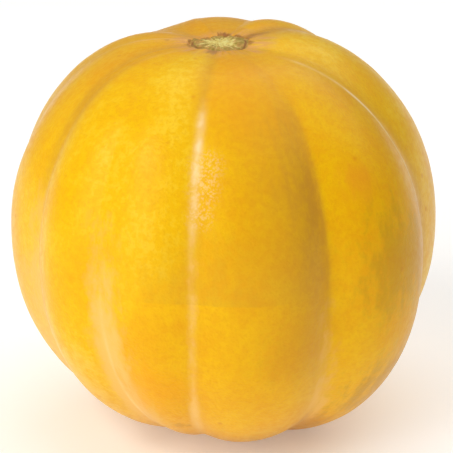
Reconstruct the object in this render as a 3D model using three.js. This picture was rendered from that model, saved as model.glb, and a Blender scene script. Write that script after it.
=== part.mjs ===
// A ribbed, smooth-skinned cantaloupe melon as picked: one whole fruit standing on its blossom end.
// Millimetres. +Z runs up to the stem scar and -Y is the front. The origin is the middle of the
// fruit's footprint, on the surface that it rests on.
import * as THREE from 'three';
import { mergeVertices } from 'three/addons/utils/BufferGeometryUtils.js';

// The round body, before the sutures are pressed in. Latitude 90 is the stem, -90 the blossom end.
const equatorRadius = 75;
const stemHalfHeight = 74;
const blossomHalfHeight = 76;
const stemSideFullness = 0.96; // below 1 the side is squarer than a ball, above the equator
const blossomSideFullness = 0.92; // and below it
const endFullness = 0.95; // below 1 the ends are flatter than a ball's
const leanPerHeight = -0.015; // the stem end sits a little to the left of the blossom end

// The hollow at the stem, and the corky pad that the stalk left when it came away.
const stemHollowDepth = 6.2;
const stemHollowRadius = 27;
const scarRadius = 9.7;
const scarRise = 0.7;
const scarEdge = 1.6;

// The flat spot that the fruit rests on is as wide as a cut this far above its lowest point.
const restCut = 1.2;

// The ten sutures, going round from the front towards +X, and the lobe after each of them.
// azimuth is where the suture crosses the equator, in degrees, and turn how far it has wandered at
// the stem and at the blossom end. width is how far its wall reaches before and after the crease,
// in degrees. rounding is the half width of the crease's round bottom, in degrees, at the stem, the
// equator and the blossom end. So are depth, in mm, and swell, which is how far the lobe stands out
// beyond the round body, in mm.
const sutures = [
  {
    azimuth: -95, turn: [-9, 0], width: [10.5, 10],
    rounding: [4, 2, 2], depth: [1.4, 2.6, 2], swell: [-2, 1.2, -1.2],
  },
  {
    azimuth: -60.5, turn: [-9, -3], width: [11.5, 6.5],
    rounding: [6, 2, 2], depth: [1, 2, 2], swell: [-0.6, 3, 0],
  },
  {
    azimuth: -35, turn: [-5.5, 4], width: [12, 9],
    rounding: [10, 4, 2], depth: [0.4, 1.4, 2.8], swell: [0.2, 0.9, 1],
  },
  {
    azimuth: -8, turn: [1, -5.5], width: [10, 10],
    rounding: [5, 2, 2], depth: [1.3, 2, 1.7], swell: [-0.5, 0.6, 2.5],
  },
  {
    azimuth: 30, turn: [4, 9], width: [6, 11],
    rounding: [9, 3, 8], depth: [2.5, 4, 0.9], swell: [-1.4, 4.6, 5],
  },
  {
    azimuth: 75.5, turn: [-7, 10], width: [10.5, 13],
    rounding: [3, 1.2, 2], depth: [1.8, 2.6, 2.2], swell: [1.6, 2.4, -1],
  },
  {
    azimuth: 125, turn: [5, -2], width: [9.5, 9.5],
    rounding: [2, 2, 2], depth: [0.4, 1.3, 1.8], swell: [1.4, 3, 1],
  },
  {
    azimuth: 160, turn: [0, 3], width: [11, 10],
    rounding: [4, 2, 2], depth: [1.8, 2.2, 2.2], swell: [-0.4, 1.1, 1],
  },
  {
    azimuth: 193, turn: [2, -2], width: [10, 10.5],
    rounding: [6, 2, 2], depth: [0.6, 2, 2], swell: [-2.4, 0, 1],
  },
  {
    azimuth: 222.5, turn: [3, 2], width: [12.5, 12],
    rounding: [4, 2, 2], depth: [4.1, 2.8, 2.6], swell: [-0.5, 1.3, 1],
  },
];
const wallPower = 1.6;
const swellSoftness = 0.2; // keeps the crease round where two lobes swell away from it

const columnsPerLobe = 9; // a column of vertices runs along every suture
const latitudeStep = 5;
const stemLatitudeStep = 2.5; // finer over the stem hollow, above stemLatitude
const stemLatitude = 65;

const radians = THREE.MathUtils.degToRad;
const signedPower = (value, power) => Math.sign(value) * Math.abs(value) ** power;

function ringLatitudes() {
  const latitudes = [];
  for (let a = -90; a < stemLatitude; a += latitudeStep) latitudes.push(a);
  for (let a = stemLatitude; a <= 90; a += stemLatitudeStep) latitudes.push(a);
  return latitudes;
}

// A point of the round body's outline: x is the distance from the axis and y the height.
function outlinePoint(latitude) {
  const a = radians(latitude);
  const fullness = latitude >= 0 ? stemSideFullness : blossomSideFullness;
  const radius = equatorRadius * Math.max(Math.cos(a), 0) ** fullness;
  const halfHeight = latitude >= 0 ? stemHalfHeight : blossomHalfHeight;
  let height = halfHeight * signedPower(Math.sin(a), endFullness);
  if (latitude > 0) {
    height -= stemHollowDepth * Math.exp(-((radius / stemHollowRadius) ** 2));
    height += scarRise * (1 - THREE.MathUtils.smoothstep(radius, scarRadius - scarEdge, scarRadius));
  }
  // The ends lie exactly on the axis.
  return new THREE.Vector2(Math.abs(latitude) === 90 ? 0 : radius, height);
}

// The outward direction of the outline at a latitude.
function outlineNormal(latitude) {
  const step = 0.5;
  const before = outlinePoint(Math.max(latitude - step, -90));
  const after = outlinePoint(Math.min(latitude + step, 90));
  const along = after.sub(before).normalize();
  return new THREE.Vector2(along.y, -along.x);
}

// A value that is given at the stem, the equator and the blossom end, at a latitude in between.
function alongFruit([stem, equator, blossom], latitude) {
  const towardsEnd = Math.sin(radians(latitude)) ** 2;
  return THREE.MathUtils.lerp(equator, latitude > 0 ? stem : blossom, towardsEnd);
}

// Where a suture runs at a latitude, in degrees round from the front.
function sutureAzimuth({ azimuth, turn: [stemTurn, blossomTurn] }, latitude) {
  const s = Math.sin(radians(latitude));
  return azimuth + (s > 0 ? stemTurn * s ** 3 : blossomTurn * s ** 2);
}

function turnBetween(a, b) {
  return THREE.MathUtils.euclideanModulo(a - b + 180, 360) - 180;
}

// The shape of a lobe across its width: 0 at its two sutures and 1 at its middle.
function swellShape(share) {
  const rise = (Math.sin(Math.PI * share) ** 2 + swellSoftness ** 2) ** 0.4;
  const least = swellSoftness ** 0.8;
  return (rise - least) / ((1 + swellSoftness ** 2) ** 0.4 - least);
}

// How far the skin stands out from the round body, in mm: lobes out, sutures in.
function relief(azimuth, latitude, lobe, share) {
  let out = alongFruit(lobe.swell, latitude) * swellShape(share);
  for (const suture of sutures) {
    const gap = turnBetween(azimuth, sutureAzimuth(suture, latitude));
    const [before, after] = suture.width;
    const bottom = alongFruit(suture.rounding, latitude) / ((before + after) / 2);
    const wall = Math.hypot(gap / (gap < 0 ? before : after), bottom);
    out -= alongFruit(suture.depth, latitude) * Math.exp(-(wall ** wallPower));
  }
  return out;
}

function makeMelonGeometry() {
  const latitudes = ringLatitudes();
  const columns = sutures.length * columnsPerLobe;
  const geometry = new THREE.LatheGeometry(latitudes.map(outlinePoint), columns);
  geometry.rotateX(Math.PI / 2); // the lathe's axis is Y, the fruit's is Z
  const position = geometry.getAttribute('position');
  for (let column = 0; column <= columns; column++) {
    const lobeIndex = Math.floor(column / columnsPerLobe) % sutures.length;
    const share = (column % columnsPerLobe) / columnsPerLobe;
    const lobe = sutures[lobeIndex];
    const next = sutures[(lobeIndex + 1) % sutures.length];
    latitudes.forEach((latitude, ring) => {
      const start = sutureAzimuth(lobe, latitude);
      const end = sutureAzimuth(next, latitude);
      const azimuth = start + THREE.MathUtils.euclideanModulo(end - start, 360) * share;
      const point = outlinePoint(latitude);
      const normal = outlineNormal(latitude);
      // The relief dies away at the two ends, where all the sutures meet.
      const out = relief(azimuth, latitude, lobe, share) * Math.sqrt(point.x / equatorRadius);
      const radius = point.x + normal.x * out;
      const height = Math.max(point.y + normal.y * out, restCut - blossomHalfHeight);
      const turn = radians(azimuth);
      position.setXYZ(
        column * latitudes.length + ring,
        radius * Math.sin(turn) + leanPerHeight * height,
        -radius * Math.cos(turn),
        height,
      );
    });
  }
  geometry.deleteAttribute('normal');
  geometry.deleteAttribute('uv');
  const melon = mergeVertices(geometry, 1e-3);

  // The origin goes to the middle of the footprint, on the flat spot.
  melon.computeBoundingBox();
  const { min, max } = melon.boundingBox;
  melon.translate(-(min.x + max.x) / 2, -(min.y + max.y) / 2, -min.z);
  melon.computeVertexNormals();
  return melon;
}

const rind = new THREE.MeshStandardMaterial({ color: '#f5b81c', roughness: 0.4, metalness: 0 });

const melon = new THREE.Mesh(makeMelonGeometry(), rind);
melon.name = 'melon';

const part = new THREE.Group();
part.add(melon);

export default part;
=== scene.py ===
import math

import bmesh
import bpy
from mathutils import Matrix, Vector, noise


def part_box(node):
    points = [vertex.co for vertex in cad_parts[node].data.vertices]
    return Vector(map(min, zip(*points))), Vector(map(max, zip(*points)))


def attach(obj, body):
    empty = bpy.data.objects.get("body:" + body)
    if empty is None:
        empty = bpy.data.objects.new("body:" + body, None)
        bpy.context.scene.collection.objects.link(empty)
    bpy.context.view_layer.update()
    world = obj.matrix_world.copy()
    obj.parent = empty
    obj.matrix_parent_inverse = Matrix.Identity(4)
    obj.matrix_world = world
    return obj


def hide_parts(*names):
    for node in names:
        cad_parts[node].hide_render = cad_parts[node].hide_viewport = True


# A whole golden cantaloupe melon on a pale floor. The settings, and the functions that shape the
# melon, are in millimetres and degrees unless a note says otherwise. The rest is in metres.
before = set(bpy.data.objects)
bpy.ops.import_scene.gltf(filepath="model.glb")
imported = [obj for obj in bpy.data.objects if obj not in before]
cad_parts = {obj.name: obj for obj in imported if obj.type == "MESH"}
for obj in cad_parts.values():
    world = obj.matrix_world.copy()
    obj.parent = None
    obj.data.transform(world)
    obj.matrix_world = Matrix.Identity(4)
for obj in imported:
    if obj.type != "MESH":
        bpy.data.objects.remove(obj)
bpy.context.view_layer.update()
melonLow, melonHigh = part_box("melon")
melonMiddle = (melonLow + melonHigh) / 2
print("frame loaded, melon box", tuple(melonLow), tuple(melonHigh))


def fromMillimetres(value):
    return value / 1000


def perMetre(millimetres):
    # the scale of a texture whose pattern is this big
    return 1000 / millimetres


def linearColour(hexCode):
    channels = [int(hexCode[i:i + 2], 16) / 255 for i in (1, 3, 5)]
    linear = [c / 12.92 if c <= 0.04045 else ((c + 0.055) / 1.055) ** 2.4 for c in channels]
    return (*linear, 1.0)


def addNode(tree, nodeType, settings=None, inputs=None):
    # An input takes a plain value, a hex colour, an output socket, or a node for its first live output.
    # It goes by its number where several sockets share a name.
    node = tree.nodes.new(nodeType)
    for name, value in (settings or {}).items():
        setattr(node, name, value)
    for name, value in (inputs or {}).items():
        if isinstance(value, bpy.types.Node):
            value = next(output for output in value.outputs if output.enabled)
        if isinstance(value, bpy.types.NodeSocket):
            tree.links.new(value, node.inputs[name])
        else:
            node.inputs[name].default_value = linearColour(value) if isinstance(value, str) else value
    return node


def smoothStep(value, low, high):
    share = min(max((value - low) / (high - low), 0), 1)
    return share * share * (3 - 2 * share)


def bell(value, width):
    return math.exp(-((value / width) ** 2))


cameraSettings = {
    "elevation": 22.8,          # degrees above the horizon
    "distance": 1200,
    "viewWidth": 161.75,        # what the view takes in at that distance
    "aim": (0.63, -0.97, 1.26),     # from the middle of the melon's box
    "sensorWidth": 36,
    "clipping": (0.05, 50),     # metres
}


def addCamera(s):
    data = bpy.data.cameras.new("studioCamera")
    camera = bpy.data.objects.new("studioCamera", data)
    bpy.context.scene.collection.objects.link(camera)
    data.sensor_width = s["sensorWidth"]
    data.lens = s["sensorWidth"] * s["distance"] / s["viewWidth"]
    tilt = math.radians(s["elevation"])
    back = Vector((0, -math.cos(tilt), math.sin(tilt)))
    aim = melonMiddle + fromMillimetres(Vector(s["aim"]))
    camera.location = aim + back * fromMillimetres(s["distance"])
    camera.rotation_euler = (-back).to_track_quat("-Z", "Y").to_euler()
    data.clip_start, data.clip_end = s["clipping"]
    bpy.context.scene.camera = camera


addCamera(cameraSettings)
print("camera placed")


# Latitude 90 is the stem and -90 the blossom end. Azimuth runs from the front (-Y) towards +X.
melonBody = {
    "equatorRadius": 75, "stemHalfHeight": 74, "blossomHalfHeight": 76,
    "sideFullness": (0.96, 0.92),   # above and below the equator; below 1 is squarer than a ball
    "endFullness": 0.95,        # below 1 the ends are flatter than a ball's
    "leanPerHeight": -0.015,    # the stem end sits a little to the left of the blossom end
    "hollowDepth": 6.2, "hollowRadius": 27,
    "restCut": 1.2,             # how much the flat spot takes off the blossom end
    "wallPower": 1.6,           # how abruptly a suture's wall ends
    "swellSoftness": 0.2, "swellPower": 0.4,        # how the lobes round over
    "corkRise": 0.08,           # how far the fine corky lines stand out
    "dentDepth": 0.3, "dentSize": 26,               # slow unevenness of the skin
    "dentSeed": (5, 0, 2),      # where in the noise it is taken from
    "rippleDepth": 0.06, "rippleSize": 7,
    "palePower": 2.4, "shadePower": 2.2,            # how sharply the coloured bands end
    "ripeBlend": 0.3,           # how far ripeness blends into the next lobe, in shares of a lobe
    "columnsPerLobe": 48, "columnCrowding": 0.6, "rings": 200,
    "stemRings": 32, "stemRingsEnd": 8,             # rings within 8 degrees of the stem
    "blossomRings": 10, "blossomRingsEnd": 4,       # and within 4 degrees of the blossom end
    "mergeDistance": 0.0001,
}

# One row for each suture and the lobe after it. azimuth is at the equator, and turn how far the
# suture has wandered at the stem and at the blossom end. width is how far its wall reaches before
# and after the crease, in degrees. depth and swell are in mm and rounding is the half width of the
# crease's round bottom in degrees, each at the stem, the equator and the blossom end.
# The rest is colour, as strengths at the seven colour latitudes: pale is the bleached band along the
# crease, shade the painted shade on its wall, line the fine corky line, and ripe how orange the lobe is.
# The reaches, in mm, are how far the pale band and the shade go before and after the crease.
# lineShift is how far the corky line lies from the crease, and lineWidth half its width, in mm.
colourLatitudes = (75, 60, 45, 30, 10, -15, -45)
melonSutures = [
    {"azimuth": -95, "turn": (-9, 0), "width": (10.5, 10), "depth": (1.4, 2.6, 2),
     "swell": (-2, 1.2, -1.2), "rounding": (4, 2, 2),
     "pale": (0.35, 0.2, 0.2, 0.3, 0.4, 0.6, 0.8), "paleReach": (4, 5),
     "shade": (0.3, 0.4, 0.4, 0.3, 0.2, 0, 0), "shadeReach": (9, 3),
     "line": (0.15, 0.1, 0, 0.1, 0.15, 0.2, 0.2), "lineShift": 0, "lineWidth": 0.7,
     "ripe": (0.6, 0.6, 0.5, 0.3, 0.1, -0.2, 0)},
    # the left suture: its wide pale band low on the left edge is partly a painted reflection of the floor
    {"azimuth": -60.5, "turn": (-9, -3), "width": (11.5, 6.5), "depth": (1, 2, 2),
     "swell": (-0.6, 3, 0), "rounding": (6, 2, 4),
     "pale": (0.15, 0, 0, 0.1, 0.4, 0.7, 0.8), "paleReach": (14, 11),
     "shade": (0.4, 0.6, 0.7, 0.5, 0.1, 0, 0), "shadeReach": (4, 4),
     "line": (0.1, 0, 0, 0.1, 0.4, 0.3, 0.2), "lineShift": 3.5, "lineWidth": 0.7,
     "ripe": (0.3, 0.2, 0.1, 0, 0, -0.1, 0)},
    {"azimuth": -35, "turn": (-5.5, 4), "width": (12, 9), "depth": (0.4, 1.4, 2.8),
     "swell": (0.2, 0.9, 1), "rounding": (10, 4, 5),
     "pale": (0, 0, 0, 0, 0.4, 0.9, 1), "paleReach": (5, 10),
     "shade": (0, 0, 0, 0, 0, 0, 0), "shadeReach": (3, 3),
     "line": (0, 0, 0, 0, 0, 0.12, 0.2), "lineShift": 1, "lineWidth": 0.7,
     "ripe": (-0.4, -0.3, -0.2, 0, 0, 0.5, 0.8)},
    # the front suture: its corky line from 45 to 30 degrees is a painted highlight in the crease, and its
    # pale band there is partly one
    {"azimuth": -8, "turn": (1, -5.5), "width": (10, 10), "depth": (1.3, 2, 1.7),
     "swell": (-0.5, 0.6, 2.5), "rounding": (5, 2, 2),
     "pale": (0, 0, 0.3, 0.45, 0.35, 0.3, 0.9), "paleReach": (2.4, 2.8),
     "shade": (0.5, 0.5, 0.2, 0.2, 0.15, 0.1, 0), "shadeReach": (3, 2),
     "line": (0, 0, 0.65, 0.4, 0.1, 0.1, 0.1), "lineShift": 0.2, "lineWidth": 1.4,
     "ripe": (0.9, 0.9, 0.6, 0.4, 0.3, 0.5, 0.3)},
    {"azimuth": 30, "turn": (4, 9), "width": (6, 11), "depth": (2.5, 4, 0.9),
     "swell": (-1.4, 4.6, 5), "rounding": (9, 3, 8),
     "pale": (0, 0, 0, 0, 0, 0.4, 0.8), "paleReach": (4, 5.5),
     "shade": (0, 0.1, 0.6, 0.95, 0.9, 0.4, 0), "shadeReach": (23, 1.5),
     "line": (0, 0, 0, 0, 0, 0, 0), "lineShift": 0, "lineWidth": 0.7,
     "ripe": (0.3, 0.3, 0.5, 0.5, 0.6, 0.4, 0.4)},
    {"azimuth": 75.5, "turn": (-7, 10), "width": (10.5, 13), "depth": (1.8, 2.6, 2.2),
     "swell": (1.6, 2.4, -1), "rounding": (3, 1.2, 2),
     "pale": (0, 0, 0.1, 0.1, 0.2, 0.3, 0.5), "paleReach": (6, 2),
     "shade": (0.1, 0.3, 0.3, 0.4, 0.8, 0.7, 0.3), "shadeReach": (20, 5),
     "line": (0, 0.5, 0.9, 1, 1, 1, 0.6), "lineShift": -5, "lineWidth": 0.8,
     "ripe": (-0.5, -0.3, -0.1, -0.2, -0.3, 0, 0.2)},
    {"azimuth": 125, "turn": (5, -2), "width": (9.5, 9.5), "depth": (0.4, 1.3, 1.8),
     "swell": (1.4, 3, 1), "rounding": (2, 2, 2),
     "pale": (0.1, 0.3, 0.2, 0.3, 0.5, 0.8, 0.9), "paleReach": (3, 7),
     "shade": (1, 0.8, 0.6, 0.6, 0.5, 0.3, 0), "shadeReach": (9, 2),
     "line": (0, 0.2, 0.2, 0.3, 0.15, 0.15, 0.3), "lineShift": 0, "lineWidth": 0.6,
     "ripe": (0.5, 0.5, 0.4, 0.3, 0.3, 0.3, 0.4)},
    {"azimuth": 160, "turn": (0, 3), "width": (11, 10), "depth": (1.8, 2.2, 2.2),
     "swell": (-0.4, 1.1, 1), "rounding": (4, 2, 2),
     "pale": (0.1, 0.1, 0, 0.1, 0.4, 0.7, 0.9), "paleReach": (6, 4),
     "shade": (0.4, 0.5, 0.6, 0.6, 0.4, 0.1, 0), "shadeReach": (3, 11),
     "line": (0, 0, 0.1, 0.2, 0.3, 0.2, 0.2), "lineShift": 0.5, "lineWidth": 0.7,
     "ripe": (0.6, 0.6, 0.5, 0.3, 0.2, 0.2, 0.4)},
    {"azimuth": 193, "turn": (2, -2), "width": (10, 10.5), "depth": (0.6, 2, 2),
     "swell": (-2.4, 0, 1), "rounding": (6, 2, 2),
     "pale": (0, 0, 0.3, 0.5, 0.5, 0.5, 0.8), "paleReach": (3, 4),
     "shade": (0.2, 0.3, 0.4, 0.3, 0.2, 0.2, 0), "shadeReach": (5, 6),
     "line": (0, 0.2, 0.4, 0.2, 0.1, 0.15, 0.2), "lineShift": 0, "lineWidth": 1,
     "ripe": (0.8, 0.8, 0.6, 0.5, 0.4, 0.3, 0.2)},
    {"azimuth": 222.5, "turn": (3, 2), "width": (12.5, 12), "depth": (4.1, 2.8, 2.6),
     "swell": (-0.5, 1.3, 1), "rounding": (4, 2, 2),
     "pale": (0.2, 0.1, 0, 0.1, 0.3, 0.7, 0.8), "paleReach": (3, 8),
     "shade": (0.4, 0.5, 0.7, 0.7, 0.5, 0.2, 0), "shadeReach": (15, 2),
     "line": (0, 0, 0.1, 0.1, 0.2, 0.15, 0.2), "lineShift": 0.8, "lineWidth": 0.7,
     "ripe": (0.7, 0.5, 0.3, 0.2, 0.1, 0.1, 0.2)},
]

# the corky pad where the stalk let go, and the torn crevice around it
stemScar = {
    "radius": 9.6, "narrowing": 0.28,               # the pad is longer sideways than to the front
    "edge": 1.4, "rise": 0.15,
    "raggedness": 1.2,          # how far the edge wanders in and out
    "creviceWidth": 0.8, "creviceDepth": 0.8,
    "creviceLeast": 0.75, "creviceUneven": 0.9,     # shares of its depth
    "rayHeight": 0.5, "rayLength": 7, "rayStart": (1, 6),   # the rays begin clear of the middle
    "crumbHeight": 0.35, "crumbSize": 1.7, "crumbOctaves": 3,
    "wrinkleDepth": 0.25, "wrinkleReach": 22,       # the puckered skin around it
    "wrinkleLength": 4, "wrinkleStart": 2,
    # how often the noise turns over in a radian around the stem
    "edgeTurns": 3.1, "creviceTurns": 2.3, "rayTurns": 3.2, "wrinkleTurns": 5,
    "edgeSeed": (0, 0, 4.2), "crumbSeed": (3, 1, 7),
    "corkBorder": 1,            # the cork's material goes this far past the pad
}


def outlinePoint(s, latitude):
    angle = math.radians(latitude)
    fullness = s["sideFullness"][0 if latitude >= 0 else 1]
    radius = s["equatorRadius"] * max(math.cos(angle), 0) ** fullness
    half = s["stemHalfHeight"] if latitude >= 0 else s["blossomHalfHeight"]
    height = half * math.copysign(abs(math.sin(angle)) ** s["endFullness"], angle)
    if latitude > 0:
        height -= s["hollowDepth"] * bell(radius, s["hollowRadius"])
    return Vector((0 if abs(latitude) == 90 else radius, height))


def outlineNormal(s, latitude):
    if abs(latitude) == 90:
        return Vector((0, math.copysign(1, latitude)))
    step = 0.5      # degrees
    along = outlinePoint(s, min(latitude + step, 90)) - outlinePoint(s, max(latitude - step, -90))
    along.normalize()
    return Vector((along.y, -along.x))


def alongFruit(threeValues, latitude):
    # from the equator's value to the stem's or the blossom end's
    stem, equator, blossom = threeValues
    towardsEnd = math.sin(math.radians(latitude)) ** 2
    return equator + ((stem if latitude > 0 else blossom) - equator) * towardsEnd


def sutureAzimuth(suture, latitude):
    rise = math.sin(math.radians(latitude))
    stemTurn, blossomTurn = suture["turn"]
    return suture["azimuth"] + (stemTurn * rise ** 3 if rise > 0 else blossomTurn * rise ** 2)


def swellShape(s, share):
    # 0 at a lobe's two creases and 1 at its middle, with a soft start so that the crease stays round
    softness, power = s["swellSoftness"], s["swellPower"]
    least = softness ** (2 * power)
    rise = (math.sin(math.pi * share) ** 2 + softness ** 2) ** power
    return (rise - least) / ((1 + softness ** 2) ** power - least)


def turnBetween(a, b):
    return (a - b + 180) % 360 - 180


def ringLatitude(s, ring):
    # rings crowd together over the stem scar and the blossom end
    if ring < s["blossomRings"]:
        return -90 + s["blossomRingsEnd"] * ring / s["blossomRings"]
    if ring > s["rings"] - s["stemRings"]:
        return 90 - s["stemRingsEnd"] * (s["rings"] - ring) / s["stemRings"]
    sideRings = s["rings"] - s["blossomRings"] - s["stemRings"]
    side = 180 - s["blossomRingsEnd"] - s["stemRingsEnd"]
    return -90 + s["blossomRingsEnd"] + side * (ring - s["blossomRings"]) / sideRings


def scarRelief(s, radius, azimuth):
    # height of the corky pad, the crevice and the puckered skin above the smooth hollow
    turn = math.radians(azimuth)
    around = Vector((math.cos(turn), math.sin(turn), 0))
    edge = s["radius"] * (1 - s["narrowing"] * math.cos(turn) ** 2)
    edge += s["raggedness"] * noise.noise(around * s["edgeTurns"] + Vector(s["edgeSeed"]))
    pad = 1 - smoothStep(radius, edge - s["edge"], edge)
    crumbPlace = around * radius / s["crumbSize"] + Vector(s["crumbSeed"])
    crumbs = noise.fractal(crumbPlace, 1.0, 2.0, s["crumbOctaves"])
    rays = noise.noise(around * s["rayTurns"] + Vector((0, 0, radius / s["rayLength"])))
    rays *= smoothStep(radius, *s["rayStart"])
    height = pad * (s["rise"] + s["crumbHeight"] * crumbs + s["rayHeight"] * rays)
    crevice = bell(radius - edge, s["creviceWidth"])
    uneven = s["creviceLeast"] + s["creviceUneven"] * noise.noise(around * s["creviceTurns"])
    height -= s["creviceDepth"] * crevice * uneven
    pucker = noise.noise(around * s["wrinkleTurns"] + Vector((0, 0, radius / s["wrinkleLength"])))
    start = edge + s["wrinkleStart"]
    wrinkled = smoothStep(radius, edge, start)
    return height + s["wrinkleDepth"] * pucker * wrinkled * (
        1 - smoothStep(radius, start, s["wrinkleReach"]))


def atColourLatitudes(strengths, latitude):
    for i in range(len(colourLatitudes) - 1):
        upper, lower = colourLatitudes[i], colourLatitudes[i + 1]
        if latitude > lower:
            share = smoothStep(upper - latitude, 0, upper - lower)
            return strengths[i] + (strengths[i + 1] - strengths[i]) * share
    return strengths[-1]


def planRing(s, sutures, ring):
    # what all the vertices of one ring share
    latitude = ringLatitude(s, ring)
    plan = {
        "latitude": latitude,
        "point": outlinePoint(s, latitude),
        "normal": outlineNormal(s, latitude),
        "azimuths": [sutureAzimuth(suture, latitude) for suture in sutures],
        "depths": [alongFruit(suture["depth"], latitude) for suture in sutures],
        "swells": [alongFruit(suture["swell"], latitude) for suture in sutures],
        "roundings": [alongFruit(suture["rounding"], latitude) for suture in sutures],
    }
    for name in ("pale", "shade", "line", "ripe"):
        plan[name] = [atColourLatitudes(suture[name], latitude) for suture in sutures]
    return plan


def bandStrength(gap, reach, strength, power):
    # a band beside the crease: full at the crease and fading out around its reach
    return strength * math.exp(-(abs(gap) / reach[0 if gap < 0 else 1]) ** power)


def skinAt(s, sutures, plan, lobe, share, azimuth):
    # how far the lobes and sutures push the skin out, and how strong the coloured bands are there
    degreeLength = math.radians(1) * plan["point"].x
    out = plan["swells"][lobe] * swellShape(s, share)
    pale = shade = line = 0
    # the walls of the two nearest sutures on either side reach here
    for index in (lobe - 1, lobe, (lobe + 1) % len(sutures), (lobe + 2) % len(sutures)):
        suture = sutures[index]
        gap = turnBetween(azimuth, plan["azimuths"][index])
        before, after = suture["width"]
        bottom = plan["roundings"][index] / ((before + after) / 2)
        wall = math.hypot(gap / (before if gap < 0 else after), bottom)
        out -= plan["depths"][index] * math.exp(-(wall ** s["wallPower"]))
        gap *= degreeLength
        paleHere = bandStrength(gap, suture["paleReach"], plan["pale"][index], s["palePower"])
        shadeHere = bandStrength(gap, suture["shadeReach"], plan["shade"][index], s["shadePower"])
        lineHere = plan["line"][index] * bell(gap - suture["lineShift"], suture["lineWidth"])
        pale, shade, line = max(pale, paleHere), max(shade, shadeHere), max(line, lineHere)
    out += s["corkRise"] * line
    out *= math.sqrt(plan["point"].x / s["equatorRadius"])     # all the sutures meet at the ends
    return out, pale, shade, line


def ripenessAt(s, plan, lobe, share):
    # each lobe has its own ripeness, which blends into its neighbours' at the sutures
    ripe = plan["ripe"][lobe]
    if share > 0.5:
        neighbour = plan["ripe"][(lobe + 1) % len(plan["ripe"])]
        blend = smoothStep(share, 1 - s["ripeBlend"], 1 + s["ripeBlend"])
    else:
        neighbour = plan["ripe"][lobe - 1]
        blend = 1 - smoothStep(share, -s["ripeBlend"], s["ripeBlend"])
    return ripe + (neighbour - ripe) * blend


def standOnFloor(bm):
    # the fruit stands on its flat spot in the middle of its box, as the CAD solid does
    xs, ys, zs = ([v.co[i] for v in bm.verts] for i in range(3))
    shift = Vector((-(min(xs) + max(xs)) / 2, -(min(ys) + max(ys)) / 2, -min(zs)))
    footprint = Vector((melonMiddle.x, melonMiddle.y, melonLow.z))
    bmesh.ops.translate(bm, verts=bm.verts, vec=shift)
    bmesh.ops.scale(bm, verts=bm.verts, vec=fromMillimetres(Vector((1, 1, 1))))
    bmesh.ops.translate(bm, verts=bm.verts, vec=footprint)
    return fromMillimetres(shift) + footprint


def makeMelonMesh(s, sutures, scar):
    lobeCount = len(sutures)
    columns = lobeCount * s["columnsPerLobe"]
    bm = bmesh.new()
    # a flat grid of the right count, rolled up into the fruit and merged at its seam and poles
    bmesh.ops.create_grid(bm, x_segments=columns, y_segments=s["rings"], size=0.5)
    rings = [planRing(s, sutures, ring) for ring in range(s["rings"] + 1)]
    layers = {}
    for name in ("paleBand", "paintedCreaseShade", "corkyLineAndPaintedHighlight", "ripeness", "stemReach"):
        layers[name] = bm.verts.layers.float.new(name)

    for vert in bm.verts:
        plan = rings[round((vert.co.y + 0.5) * s["rings"])]
        column = round((vert.co.x + 0.5) * columns) % columns
        lobe = column // s["columnsPerLobe"]
        share = (column % s["columnsPerLobe"]) / s["columnsPerLobe"]
        # columns crowd together at the creases
        share -= s["columnCrowding"] * math.sin(math.tau * share) / math.tau
        start, end = plan["azimuths"][lobe], plan["azimuths"][(lobe + 1) % lobeCount]
        azimuth = start + (end - start) % 360 * share
        latitude, point, normal = plan["latitude"], plan["point"], plan["normal"]
        out, pale, shade, line = skinAt(s, sutures, plan, lobe, share, azimuth)

        turn = math.radians(azimuth)
        direction = Vector((math.sin(turn), -math.cos(turn), 0))
        place = Vector((0, 0, point.y)) + direction * point.x
        out += s["dentDepth"] * noise.noise(place / s["dentSize"] + Vector(s["dentSeed"]))
        out += s["rippleDepth"] * noise.noise(place / s["rippleSize"])
        if latitude > 0 and point.x < scar["wrinkleReach"]:
            out += scarRelief(scar, point.x, azimuth)

        radius = point.x + normal.x * out
        height = max(point.y + normal.y * out, s["restCut"] - s["blossomHalfHeight"])
        vert.co = direction * radius + Vector((s["leanPerHeight"] * height, 0, height))
        vert[layers["paleBand"]] = pale
        vert[layers["paintedCreaseShade"]] = shade
        vert[layers["corkyLineAndPaintedHighlight"]] = line
        vert[layers["ripeness"]] = ripenessAt(s, plan, lobe, share)
        # The distance from the axis, stretched so that the scar's whole edge lies at one reach, and
        # past the equator counted on, unstretched, towards the blossom end. The two don't meet at the
        # front and back, so the underside's painted shade also shows faintly just above the equator there.
        stretch = 1 - scar["narrowing"] * math.cos(turn) ** 2
        vert[layers["stemReach"]] = point.x / stretch if latitude > 0 else 2 * s["equatorRadius"] - point.x

    bmesh.ops.remove_doubles(bm, verts=bm.verts, dist=s["mergeDistance"])
    ownMiddle = standOnFloor(bm)
    bmesh.ops.recalc_face_normals(bm, faces=bm.faces)
    reach = layers["stemReach"]
    border = scar["radius"] + scar["corkBorder"]
    for face in bm.faces:
        face.smooth = True
        face.material_index = 1 if max(vert[reach] for vert in face.verts) < border else 0
    mesh = bpy.data.meshes.new("wholeMelon")
    bm.to_mesh(mesh)
    bm.free()
    return mesh, ownMiddle


# ownMiddle is where the fruit's own axis meets its equator
melonMesh, ownMiddle = makeMelonMesh(melonBody, melonSutures, stemScar)


def onMelon(azimuth, latitude):
    # the place of a point of the skin, in metres
    across, height = outlinePoint(melonBody, latitude)
    turn = math.radians(azimuth)
    lean = melonBody["leanPerHeight"] * height
    place = Vector((across * math.sin(turn) + lean, -across * math.cos(turn), height))
    return ownMiddle + fromMillimetres(place)


wholeMelon = bpy.data.objects.new("wholeMelon", melonMesh)
bpy.context.scene.collection.objects.link(wholeMelon)
print("melon shaped,", len(melonMesh.polygons), "faces")
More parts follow.
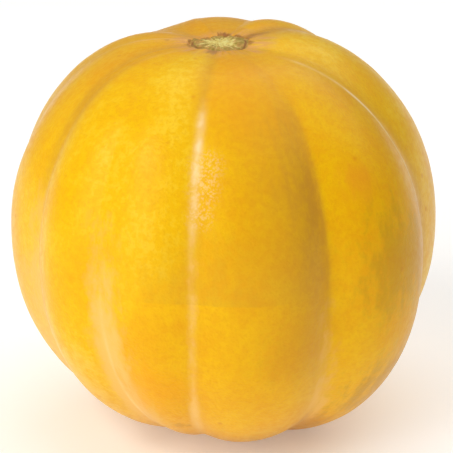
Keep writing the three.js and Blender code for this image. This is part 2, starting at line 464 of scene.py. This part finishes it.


# Ripe melon rind: a thin waxy cuticle over yellow skin. It shines softly, with broad highlights
# that its fine pores break up. Its colour drifts between lemon and orange in patches that are drawn
# out along the lobes, and it is bleached in the sutures, where the skin had no sun.
# Its colour also carries painted shade on the suture walls, the right side and underneath, a painted
# highlight with sparkle along the front suture, and a painted reflection low on the left.
rindSettings = {
    "yellow": "#EDB808", "orange": "#E69F08", "lemon": "#F2C830", "pore": "#DC9A08",
    # wall is the colour of painted shade on the sutures' walls and underneath, and cork is also that of the
    # painted highlight along the front suture
    "bleached": "#EEBB5C", "wall": "#CC9127", "cork": "#FFE9BC", "freckle": "#DA8A10",
    "pucker": "#D99C58", "furrow": "#B88030", "bruise": "#94602A", "groundSpot": "#E6C468",
    "mottleSize": 20, "streakWidth": 4, "streakStretch": 0.4, "grainSize": 2.5,
    "streakRing": 0.075,        # metres, so that streaks are true to size at the equator
    "raggedStreaks": 0.65,      # the share of streaks in a ragged edge, and the rest is grain
    # the strength of a layer where its noise is low and where it is high
    "blotches": (-0.1, 0.3), "blush": (-0.12, 0.2), "wallCover": (0.65, 1.0),
    "ripenessShare": 0.55, "lemonShare": -2.0,      # where ripeness is below 0 the skin turns lemon
    # where in its noise a layer starts, where it is full, and its strength there
    "dots": (0.5, 0.72, 0.25), "specks": (0.42, 0.7, 0.26), "furrows": (0.5, 0.36, 0.4),
    "bandRaggedness": 0.24, "bandFade": (0.15, 0.95), "bandEdge": 0.01,
    "breakSize": 7, "breakNoise": (0.36, 0.56),     # the corky lines are weak in places
    "brokenLine": 0.45,
    "freckleSpacing": 9, "freckleShare": 0.18, "freckleStrength": 0.6,
    "freckleSize": (0.16, 0.02),    # its edge and its full colour, in shares of the spacing
    "puckerRing": 0.012,        # metres, a little outside the scar
    "puckerStretch": 0.15, "puckerWidth": 2.2,
    "puckerFade": 4, "ridgeNoise": (0.4, 0.6), "ridges": (0.1, 0.9), "bruiseStrength": 0.85,
    "wander": 5, "fraying": 1.5, "drifting": 4,     # how far three kinds of border stray, in mm
    "roughness": 0.34, "roughnessDrift": 0.055, "bandRoughness": 0.1,
    "ior": 1.38, "specularLevel": 0.5,
    "shine": "#FFDC92",         # the cuticle's own yellow warms its shine
    "poreSize": 0.9, "poreDepth": 0.1,      # real pores are half as wide, too fine to show
    "grainDepth": 0.05,
    "scarReach": 9.4, "tearWidth": 2.4, "puckerReach": 24,
    # where each layer on the blossom end starts and where it is full, from the end's middle
    "blossomReach": (7, 3), "groundReach": (22, 8), "underShadeReach": (58, 30),
    "blossomStrength": 0.8, "groundStrength": 0.7, "underShadeStrength": 0.7,
    # painted sparkle of the highlight beside the front suture, as pale specks: azimuth, latitude and size
    # in mm
    "paintedSparkle": [(-4.5, 37, 8.5), (-5, 30, 8), (-6, 23, 7)],
    "markRaggedness": 0.35, "markCore": 0.3,        # shares of a mark's size
    # marks on the skin: azimuth, latitude, size in mm, colour, strength
    "marks": [
        (12, 58, 19, "#E69A08", 0.3),       # riper patches
        (-10.5, -6, 5, "#E2920A", 0.35),
        (-22, -28, 16, "#EE9C06", 0.4),
        (43, 27, 9, "#E8981C", 0.6),
        (53, 4, 25, "#BC8A1A", 0.5),        # painted shade, on the right side and lower down
        (60, -34, 25, "#BC841C", 0.6),
        (20, -14, 17, "#C88C1A", 0.25),
        (-53, -30, 22, "#F2C44C", 0.6),     # a painted reflection of the pale floor, low on the left
        (-43, 2, 3, "#F0A204", 0.8),        # freckles
        (-45, -1, 2.2, "#F0A204", 0.8),
        (-47, -13, 2.6, "#F0A204", 0.8),
        (-17, -47, 3, "#B07020", 0.35),     # scuffs from lying on soil
        (-14, -48, 2, "#B07020", 0.35),
        (38, -54, 11, "#B4641A", 0.3),
        (-52, -50, 5, "#A8621E", 0.5),
        (168, 84, 3, "#94541C", 0.8),       # bruises around the stem scar
        # painted shade along the crease behind the scar
        (115, 81.2, 3.4, "#A06A28", 0.6),
        (116, 79, 3.2, "#A06A28", 0.5),
        (117, 76.8, 3, "#A87430", 0.4),
        # more bruises around the stem scar
        (-12, 83, 3.2, "#A0704A", 0.7),
        (-100, 76.5, 1.8, "#A8702A", 0.6),
        (95, 10, 20, "#E29C0C", 0.4),       # the far side's patches
        (142, 35, 18, "#F0C02C", 0.4),
        (176, -5, 24, "#DE9A10", 0.4),
        (208, 30, 16, "#C8941E", 0.4),
        (240, -10, 26, "#F2C22C", 0.4),
        (205, -10, 2.5, "#B87A1C", 0.4),
    ],
}

# settings that many shader nodes share
adding, multiplying = {"operation": "ADD"}, {"operation": "MULTIPLY"}
above, apart = {"operation": "GREATER_THAN"}, {"operation": "DISTANCE"}
addingProduct, toUnit = {"operation": "MULTIPLY_ADD"}, {"operation": "NORMALIZE"}
smoothly, inColour = {"interpolation_type": "SMOOTHSTEP"}, {"data_type": "RGBA"}
# a Map Range node's lower and upper end, where most and where nearly all of a noise lies
mostNoise, nearlyAllNoise = {1: 0.35, 2: 0.65}, {1: 0.3, 2: 0.7}


def makeRind(s):
    material = bpy.data.materials.new("waxyMelonRind")
    material.use_nodes = True
    tree = material.node_tree
    shader = tree.nodes["Principled BSDF"]
    stemReach, paleBand, paintedCreaseShade, corkyLineAndPaintedHighlight, ripeness = (
        addNode(tree, "ShaderNodeAttribute", {"attribute_name": name}).outputs["Fac"]
        for name in ("stemReach", "paleBand", "paintedCreaseShade", "corkyLineAndPaintedHighlight", "ripeness"))
    objectPlace = addNode(tree, "ShaderNodeTexCoord").outputs["Object"]
    place = addNode(tree, "ShaderNodeMapping", inputs={"Vector": objectPlace, "Location": -ownMiddle})

    # the same place laid out around the fruit, so that noise on it runs along the lobes
    flat = addNode(tree, "ShaderNodeVectorMath", multiplying, {0: place, 1: (1, 1, 0)})
    around = addNode(tree, "ShaderNodeVectorMath", toUnit, {0: flat})
    streakRing = addNode(tree, "ShaderNodeVectorMath", multiplying, {
        0: around, 1: (s["streakRing"], s["streakRing"], 0)})
    upward = addNode(tree, "ShaderNodeVectorMath", multiplying, {0: place, 1: (0, 0, s["streakStretch"])})
    along = addNode(tree, "ShaderNodeVectorMath", adding, {0: streakRing, 1: upward})

    mottle = addNode(tree, "ShaderNodeTexNoise", inputs={
        "Vector": place, "Scale": perMetre(s["mottleSize"]), "Detail": 4.0, "Roughness": 0.55})
    streaks = addNode(tree, "ShaderNodeTexNoise", inputs={
        "Vector": along, "Scale": perMetre(s["streakWidth"]), "Detail": 3.0, "Roughness": 0.6})
    grain = addNode(tree, "ShaderNodeTexNoise", inputs={
        "Vector": place, "Scale": perMetre(s["grainSize"]), "Detail": 3.0, "Roughness": 0.6})
    pores = addNode(tree, "ShaderNodeTexNoise", inputs={
        "Vector": place, "Scale": perMetre(s["poreSize"]), "Detail": 1.0})
    breaks = addNode(tree, "ShaderNodeTexNoise", inputs={
        "Vector": place, "Scale": perMetre(s["breakSize"]), "Detail": 2.0})
    ragged = addNode(tree, "ShaderNodeMix", inputs={0: s["raggedStreaks"], 2: grain, 3: streaks})

    # layers of paint over the yellow skin, from the lowest up: each one's strength and colour
    low, high = s["blotches"]
    blotches = addNode(tree, "ShaderNodeMapRange", smoothly, {0: mottle, **mostNoise, 3: low, 4: high})
    low, high = s["blush"]
    blush = addNode(tree, "ShaderNodeMapRange", smoothly, {0: grain, **mostNoise, 3: low, 4: high})
    drift = addNode(tree, "ShaderNodeMath", addingProduct, {
        0: ripeness, 1: s["ripenessShare"], 2: blotches})
    drift = addNode(tree, "ShaderNodeMath", adding, {0: drift, 1: blush})
    unripe = addNode(tree, "ShaderNodeMath", multiplying, {0: drift, 1: s["lemonShare"]})
    low, high, strength = s["dots"]
    dots = addNode(tree, "ShaderNodeMapRange", smoothly, {0: pores, 1: low, 2: high, 3: 0.0, 4: strength})
    layers = [(drift, s["orange"]), (unripe, s["lemon"]), (dots, s["pore"])]

    # the painted shade on the sutures' walls, the ragged bleached bands along them, and their corky lines,
    # which along the front suture are a painted highlight
    low, high = s["wallCover"]
    uneven = addNode(tree, "ShaderNodeMapRange", smoothly, {0: ragged, **mostNoise, 3: low, 4: high})
    shade = addNode(tree, "ShaderNodeMath", multiplying, {0: paintedCreaseShade, 1: uneven})
    torn = addNode(tree, "ShaderNodeMapRange", smoothly, {
        0: ragged, **nearlyAllNoise, 3: -s["bandRaggedness"], 4: s["bandRaggedness"]})
    band = addNode(tree, "ShaderNodeMath", adding, {0: paleBand, 1: torn})
    low, high = s["bandFade"]
    band = addNode(tree, "ShaderNodeMapRange", smoothly, {0: band, 1: low, 2: high})
    nearBand = addNode(tree, "ShaderNodeMath", above, {0: paleBand, 1: s["bandEdge"]})
    band = addNode(tree, "ShaderNodeMath", multiplying, {0: band, 1: nearBand})
    low, high = s["breakNoise"]
    whole = addNode(tree, "ShaderNodeMapRange", smoothly, {
        0: breaks, 1: low, 2: high, 3: s["brokenLine"], 4: 1.0})
    line = addNode(tree, "ShaderNodeMath", multiplying, {0: corkyLineAndPaintedHighlight, 1: whole})
    layers += [(shade, s["wall"]), (band, s["bleached"]), (line, s["cork"])]

    # a few freckles all over
    cells = addNode(tree, "ShaderNodeTexVoronoi", {"feature": "F1"}, {
        "Vector": place, "Scale": perMetre(s["freckleSpacing"]), "Randomness": 1.0})
    lot = addNode(tree, "ShaderNodeSeparateColor", inputs={0: cells.outputs["Color"]})
    few = addNode(tree, "ShaderNodeMath", above, {0: lot, 1: 1 - s["freckleShare"]})
    edge, full = s["freckleSize"]
    spot = addNode(tree, "ShaderNodeMapRange", smoothly, {
        0: cells.outputs["Distance"], 1: edge, 2: full, 3: 0.0, 4: s["freckleStrength"]})
    freckles = addNode(tree, "ShaderNodeMath", multiplying, {0: few, 1: spot})
    layers.append((freckles, s["freckle"]))

    # puckered, stained skin around the scar, darkest where the cork has torn from it
    puckerRing = addNode(tree, "ShaderNodeVectorMath", multiplying, {
        0: around, 1: (s["puckerRing"], s["puckerRing"], 0)})
    outward = addNode(tree, "ShaderNodeVectorMath", multiplying, {
        0: place, 1: (s["puckerStretch"], s["puckerStretch"], 0)})
    puckerPlace = addNode(tree, "ShaderNodeVectorMath", adding, {0: puckerRing, 1: outward})
    pucker = addNode(tree, "ShaderNodeTexNoise", inputs={
        "Vector": puckerPlace, "Scale": perMetre(s["puckerWidth"]), "Detail": 3.0, "Roughness": 0.6})
    wander = addNode(tree, "ShaderNodeMapRange", smoothly, {
        0: mottle, **nearlyAllNoise, 3: -s["wander"], 4: s["wander"]})
    wanderingReach = addNode(tree, "ShaderNodeMath", adding, {0: stemReach, 1: wander})
    nearScar = addNode(tree, "ShaderNodeMapRange", smoothly, {
        0: wanderingReach, 1: s["puckerReach"], 2: s["scarReach"] + s["puckerFade"]})
    low, high = s["ridgeNoise"]
    least, most = s["ridges"]
    ridges = addNode(tree, "ShaderNodeMapRange", smoothly, {0: pucker, 1: low, 2: high, 3: least, 4: most})
    ridges = addNode(tree, "ShaderNodeMath", multiplying, {0: nearScar, 1: ridges})
    high, low, strength = s["furrows"]
    furrows = addNode(tree, "ShaderNodeMapRange", smoothly, {
        0: pucker, 1: high, 2: low, 3: 0.0, 4: strength})
    furrows = addNode(tree, "ShaderNodeMath", multiplying, {0: nearScar, 1: furrows})
    frayed = addNode(tree, "ShaderNodeMapRange", smoothly, {
        0: grain, **nearlyAllNoise, 3: -s["fraying"], 4: s["fraying"]})
    frayedReach = addNode(tree, "ShaderNodeMath", adding, {0: stemReach, 1: frayed})
    tear = addNode(tree, "ShaderNodeMapRange", smoothly, {
        0: frayedReach, 1: s["scarReach"] + s["tearWidth"], 2: s["scarReach"],
        3: 0.0, 4: s["bruiseStrength"]})
    layers += [(ridges, s["pucker"]), (furrows, s["furrow"]), (tear, s["bruise"])]

    # painted sparkle: pale specks in the highlight beside the front suture
    low, high, strength = s["specks"]
    specks = addNode(tree, "ShaderNodeMapRange", smoothly, {0: pores, 1: low, 2: high, 3: 0.0, 4: strength})
    for azimuth, latitude, size in s["paintedSparkle"]:
        away = addNode(tree, "ShaderNodeVectorMath", apart, {0: objectPlace, 1: onMelon(azimuth, latitude)})
        crowd = addNode(tree, "ShaderNodeMapRange", smoothly, {
            0: away, 1: fromMillimetres(size), 2: fromMillimetres(size / 4)})
        crowd = addNode(tree, "ShaderNodeMath", multiplying, {0: crowd, 1: specks})
        layers.append((crowd, s["cork"]))

    fray = addNode(tree, "ShaderNodeMapRange", smoothly, {
        0: ragged, **nearlyAllNoise, 3: -s["markRaggedness"], 4: s["markRaggedness"]})
    for azimuth, latitude, size, colour, strength in s["marks"]:
        away = addNode(tree, "ShaderNodeVectorMath", apart, {0: objectPlace, 1: onMelon(azimuth, latitude)})
        share = addNode(tree, "ShaderNodeMath", addingProduct, {0: away, 1: perMetre(size), 2: fray})
        mark = addNode(tree, "ShaderNodeMapRange", smoothly, {
            0: share, 1: 1.0, 2: s["markCore"], 3: 0.0, 4: strength})
        layers.append((mark, colour))

    # painted shade underneath, darker towards the blossom end, and the dry blossom scar in the middle of
    # it, in a pale ground spot
    blossomReach = addNode(tree, "ShaderNodeMath", {"operation": "SUBTRACT"}, {
        0: 2.0 * melonBody["equatorRadius"], 1: stemReach})
    drifting = addNode(tree, "ShaderNodeMapRange", smoothly, {
        0: ragged, **nearlyAllNoise, 3: -s["drifting"], 4: s["drifting"]})
    for border, reach, strength, colour in (
            (drifting, s["underShadeReach"], s["underShadeStrength"], s["wall"]),
            (wander, s["groundReach"], s["groundStrength"], s["groundSpot"]),
            (frayed, s["blossomReach"], s["blossomStrength"], s["bruise"])):
        unevenReach = addNode(tree, "ShaderNodeMath", adding, {0: blossomReach, 1: border})
        patch = addNode(tree, "ShaderNodeMapRange", smoothly, {
            0: unevenReach, 1: reach[0], 2: reach[1], 3: 0.0, 4: strength})
        layers.append((patch, colour))

    skin = s["yellow"]
    for strength, colour in layers:
        skin = addNode(tree, "ShaderNodeMix", inColour, {0: strength, 6: skin, 7: colour})
    tree.links.new(skin.outputs[2], shader.inputs["Base Color"])

    satin = addNode(tree, "ShaderNodeMapRange", smoothly, {
        0: grain, **nearlyAllNoise,
        3: s["roughness"] - s["roughnessDrift"], 4: s["roughness"] + s["roughnessDrift"]})
    rough = addNode(tree, "ShaderNodeMath", addingProduct, {0: band, 1: s["bandRoughness"], 2: satin})
    tree.links.new(rough.outputs[0], shader.inputs["Roughness"])
    shader.inputs["IOR"].default_value = s["ior"]
    shader.inputs["Specular IOR Level"].default_value = s["specularLevel"]
    shader.inputs["Specular Tint"].default_value = linearColour(s["shine"])
    grainHeight = addNode(tree, "ShaderNodeMath", multiplying, {0: grain, 1: s["grainDepth"]})
    height = addNode(tree, "ShaderNodeMath", addingProduct, {0: pores, 1: s["poreDepth"], 2: grainHeight})
    bump = addNode(tree, "ShaderNodeBump", inputs={"Height": height, "Distance": fromMillimetres(1)})
    tree.links.new(bump.outputs[0], shader.inputs["Normal"])
    return material


# Dried stalk cork: matt and crumbly, pale yellow-green where it is fresh and brown where it has torn.
corkSettings = {
    "fresh": "#DDCF7C", "straw": "#CFB45A", "hollow": "#9C8430", "tan": "#BE9248", "torn": "#8A5824",
    "crumbSize": 1.6, "rayWidth": 1.5, "roughness": 0.8, "crumbDepth": 0.3,
    "coreReach": 5.6, "coreFade": 1,
    "starPoints": 3,            # how far the pale star's points stray
    "freshNoise": (0.4, 0.6), "filledNoise": (0.42, 0.58), "rayFill": 0.6,
    # where in their noise hollows and cracks start, where they are full, and their strength there
    "hollows": (0.66, 0.56, 0.8), "cracks": (0.45, 0.56, 0.85),
    "crackReach": (6.8, 8.0), "crackEnds": (0.6, 0.95), "cracksPerMillimetre": 0.9,
}


def makeCork(s):
    material = bpy.data.materials.new("driedStalkCork")
    material.use_nodes = True
    tree = material.node_tree
    shader = tree.nodes["Principled BSDF"]
    reach = addNode(tree, "ShaderNodeAttribute", {"attribute_name": "stemReach"}).outputs["Fac"]
    objectPlace = addNode(tree, "ShaderNodeTexCoord").outputs["Object"]
    place = addNode(tree, "ShaderNodeMapping", inputs={
        "Vector": objectPlace, "Location": -onMelon(0, 90)})
    flat = addNode(tree, "ShaderNodeVectorMath", multiplying, {0: place, 1: (1, 1, 0)})
    around = addNode(tree, "ShaderNodeVectorMath", toUnit, {0: flat})
    # the direction from the middle is one unit long, so a scale in rays needs the pad's edge, in mm
    rays = addNode(tree, "ShaderNodeTexNoise", inputs={
        "Vector": around, "Scale": stemScar["radius"] / s["rayWidth"], "Detail": 3.0})
    crumbs = addNode(tree, "ShaderNodeTexNoise", inputs={
        "Vector": place, "Scale": perMetre(s["crumbSize"]), "Detail": 3.0, "Roughness": 0.6})

    # a pale star in the middle, then tan cork with hollows
    low, high = s["freshNoise"]
    fresh = addNode(tree, "ShaderNodeMapRange", smoothly, {0: crumbs, 1: low, 2: high})
    core = addNode(tree, "ShaderNodeMix", inColour, {0: fresh, 6: s["straw"], 7: s["fresh"]})
    low, high = s["filledNoise"]
    filled = addNode(tree, "ShaderNodeMapRange", smoothly, {0: crumbs, 1: low, 2: high})
    outer = addNode(tree, "ShaderNodeMix", inColour, {0: filled, 6: s["hollow"], 7: s["tan"]})
    points = addNode(tree, "ShaderNodeMapRange", smoothly, {
        0: rays, **nearlyAllNoise, 3: -s["starPoints"], 4: s["starPoints"]})
    starReach = addNode(tree, "ShaderNodeMath", adding, {0: reach, 1: points})
    outside = addNode(tree, "ShaderNodeMapRange", smoothly, {
        0: starReach, 1: s["coreReach"] - s["coreFade"], 2: s["coreReach"] + s["coreFade"]})
    cork = addNode(tree, "ShaderNodeMix", inColour, {0: outside, 6: core, 7: outer})
    fill = addNode(tree, "ShaderNodeMath", addingProduct, {0: rays, 1: s["rayFill"], 2: crumbs})
    high, low, strength = s["hollows"]
    hollow = addNode(tree, "ShaderNodeMapRange", smoothly, {0: fill, 1: high, 2: low, 3: 0.0, 4: strength})
    cork = addNode(tree, "ShaderNodeMix", inColour, {0: hollow, 6: cork, 7: s["hollow"]})

    # cracked in arcs at its two ends
    sideways = addNode(tree, "ShaderNodeSeparateXYZ", inputs={0: around})
    ends = addNode(tree, "ShaderNodeMath", {"operation": "ABSOLUTE"}, {0: sideways})
    arcs = addNode(tree, "ShaderNodeCombineXYZ", inputs={0: ends, 1: reach})
    cracks = addNode(tree, "ShaderNodeTexNoise", inputs={
        "Vector": arcs, "Scale": s["cracksPerMillimetre"], "Detail": 2.0})
    low, high, strength = s["cracks"]
    cracked = addNode(tree, "ShaderNodeMapRange", smoothly, {
        0: cracks, 1: low, 2: high, 3: 0.0, 4: strength})
    low, high = s["crackEnds"]
    atEnds = addNode(tree, "ShaderNodeMapRange", smoothly, {0: ends, 1: low, 2: high})
    low, high = s["crackReach"]
    atEdge = addNode(tree, "ShaderNodeMapRange", smoothly, {0: reach, 1: low, 2: high})
    cracked = addNode(tree, "ShaderNodeMath", multiplying, {0: cracked, 1: atEnds})
    cracked = addNode(tree, "ShaderNodeMath", multiplying, {0: cracked, 1: atEdge})
    cork = addNode(tree, "ShaderNodeMix", inColour, {0: cracked, 6: cork, 7: s["torn"]})

    tree.links.new(cork.outputs[2], shader.inputs["Base Color"])
    shader.inputs["Roughness"].default_value = s["roughness"]
    bump = addNode(tree, "ShaderNodeBump", inputs={
        "Height": crumbs, "Distance": fromMillimetres(s["crumbDepth"])})
    tree.links.new(bump.outputs[0], shader.inputs["Normal"])
    return material


melonMesh.materials.append(makeRind(rindSettings))
melonMesh.materials.append(makeCork(corkSettings))
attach(wholeMelon, "root")
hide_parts("melon")
print("rind painted")


studioSettings = {
    "floorSize": 8,             # metres
    "floorColour": "#FBFAF8", "floorRoughness": 0.7,
    "floorGlow": 0.22,          # a light table, so that the floor stays pale
    "skyColour": "#FFFFFF", "skyStrength": 0.27,
    # each softbox: how far around from the front, how high, how far off and how big in metres, watts
    "softboxes": {
        "keySoftbox": (-42, 27, 1.1, (0.6, 1.0), 6.15),
        "highSoftbox": (-58, 48, 1.1, (0.22, 0.34), 2.1),
        "rightSoftbox": (126, 66, 1.5, (2.2, 2.2), 17.6),
    },
}


def addStudio(s):
    bm = bmesh.new()
    bmesh.ops.create_grid(bm, x_segments=1, y_segments=1, size=s["floorSize"] / 2)
    bmesh.ops.translate(bm, verts=bm.verts, vec=(0, 0, melonLow.z))
    mesh = bpy.data.meshes.new("studioFloor")
    bm.to_mesh(mesh)
    bm.free()
    floor = bpy.data.objects.new("studioFloor", mesh)
    bpy.context.scene.collection.objects.link(floor)
    paint = bpy.data.materials.new("mattWhiteBoard")
    paint.use_nodes = True
    shader = paint.node_tree.nodes["Principled BSDF"]
    shader.inputs["Base Color"].default_value = linearColour(s["floorColour"])
    shader.inputs["Roughness"].default_value = s["floorRoughness"]
    shader.inputs["Emission Color"].default_value = linearColour(s["floorColour"])
    shader.inputs["Emission Strength"].default_value = s["floorGlow"]
    mesh.materials.append(paint)

    world = bpy.data.worlds.new("studioSky")
    bpy.context.scene.world = world
    world.use_nodes = True
    background = world.node_tree.nodes["Background"]
    background.inputs["Color"].default_value = linearColour(s["skyColour"])
    background.inputs["Strength"].default_value = s["skyStrength"]

    for name, (azimuth, elevation, distance, size, watts) in s["softboxes"].items():
        data = bpy.data.lights.new(name, "AREA")
        data.shape = "RECTANGLE"
        data.size, data.size_y = size
        data.energy = watts
        box = bpy.data.objects.new(name, data)
        bpy.context.scene.collection.objects.link(box)
        around, up = math.radians(azimuth), math.radians(elevation)
        towards = Vector((math.sin(around) * math.cos(up), -math.cos(around) * math.cos(up), math.sin(up)))
        box.location = melonMiddle + towards * distance
        box.rotation_euler = towards.to_track_quat("Z", "Y").to_euler()
        box.visible_camera = False


addStudio(studioSettings)
bpy.context.scene.view_settings.view_transform = "Standard"
print("studio lit")
